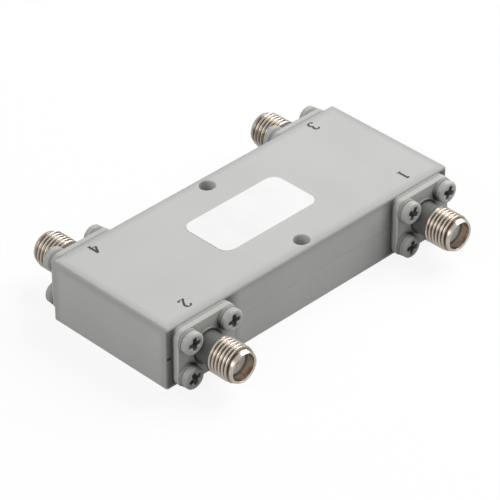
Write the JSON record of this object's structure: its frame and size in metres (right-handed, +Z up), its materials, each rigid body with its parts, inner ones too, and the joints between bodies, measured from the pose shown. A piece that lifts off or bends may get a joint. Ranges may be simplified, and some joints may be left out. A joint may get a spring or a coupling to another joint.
{
  "type": "quadrature hybrid coupler",
  "caption": "Grey painted block that splits or joins radio signals a quarter wave apart, with threaded coaxial jacks bolted on both long sides and two mounting holes.",
  "frame": {"origin": "centre of the block's underside", "axes": "+X along the block, +Y from the two input jacks to the two output jacks, +Z up through the labelled top"},
  "size_m": [0.063, 0.045, 0.0115],
  "materials": {
    "grey_paint": "light grey satin enamel over aluminium, faintly orange-peeled",
    "jack_metal": "turned passivated steel, painted grey from the flange to where the thread starts",
    "gasket": "dark conductive rubber, painted over at its edge",
    "white_plastic": "white fluoroplastic, waxy",
    "gold": "gold plated spring brass",
    "board": "glass and fluoroplastic laminate",
    "copper": "bare etched copper",
    "screw_paint": "steel, sprayed over with the block's grey enamel",
    "screw_steel": "plain zinc plated steel",
    "label": "white film label, left blank"
  },
  "bodies": {
    "root": {"base_half": "grey_paint", "cover_half": "grey_paint", "lower_board": "board", "centre_film": "board", "upper_board": "board", "upper_strip": "copper", "lower_strip": "copper", "cover_screws": "screw_steel", "label": "label", "port1_jack_shell": "jack_metal", "port1_gasket": "gasket", "port1_insulator": "white_plastic", "port1_contact": "gold", "port1_flange_screws": "screw_paint", "port1_lock_washers": "screw_paint", "port2_jack_shell": "jack_metal", "port2_gasket": "gasket", "port2_insulator": "white_plastic", "port2_contact": "gold", "port2_flange_screws": "screw_paint", "port2_lock_washers": "screw_paint", "port3_jack_shell": "jack_metal", "port3_gasket": "gasket", "port3_insulator": "white_plastic", "port3_contact": "gold", "port3_flange_screws": "screw_paint", "port3_lock_washers": "screw_paint", "port4_jack_shell": "jack_metal", "port4_gasket": "gasket", "port4_insulator": "white_plastic", "port4_contact": "gold", "port4_flange_screws": "screw_paint", "port4_lock_washers": "screw_paint"}
  },
  "joints": []
}
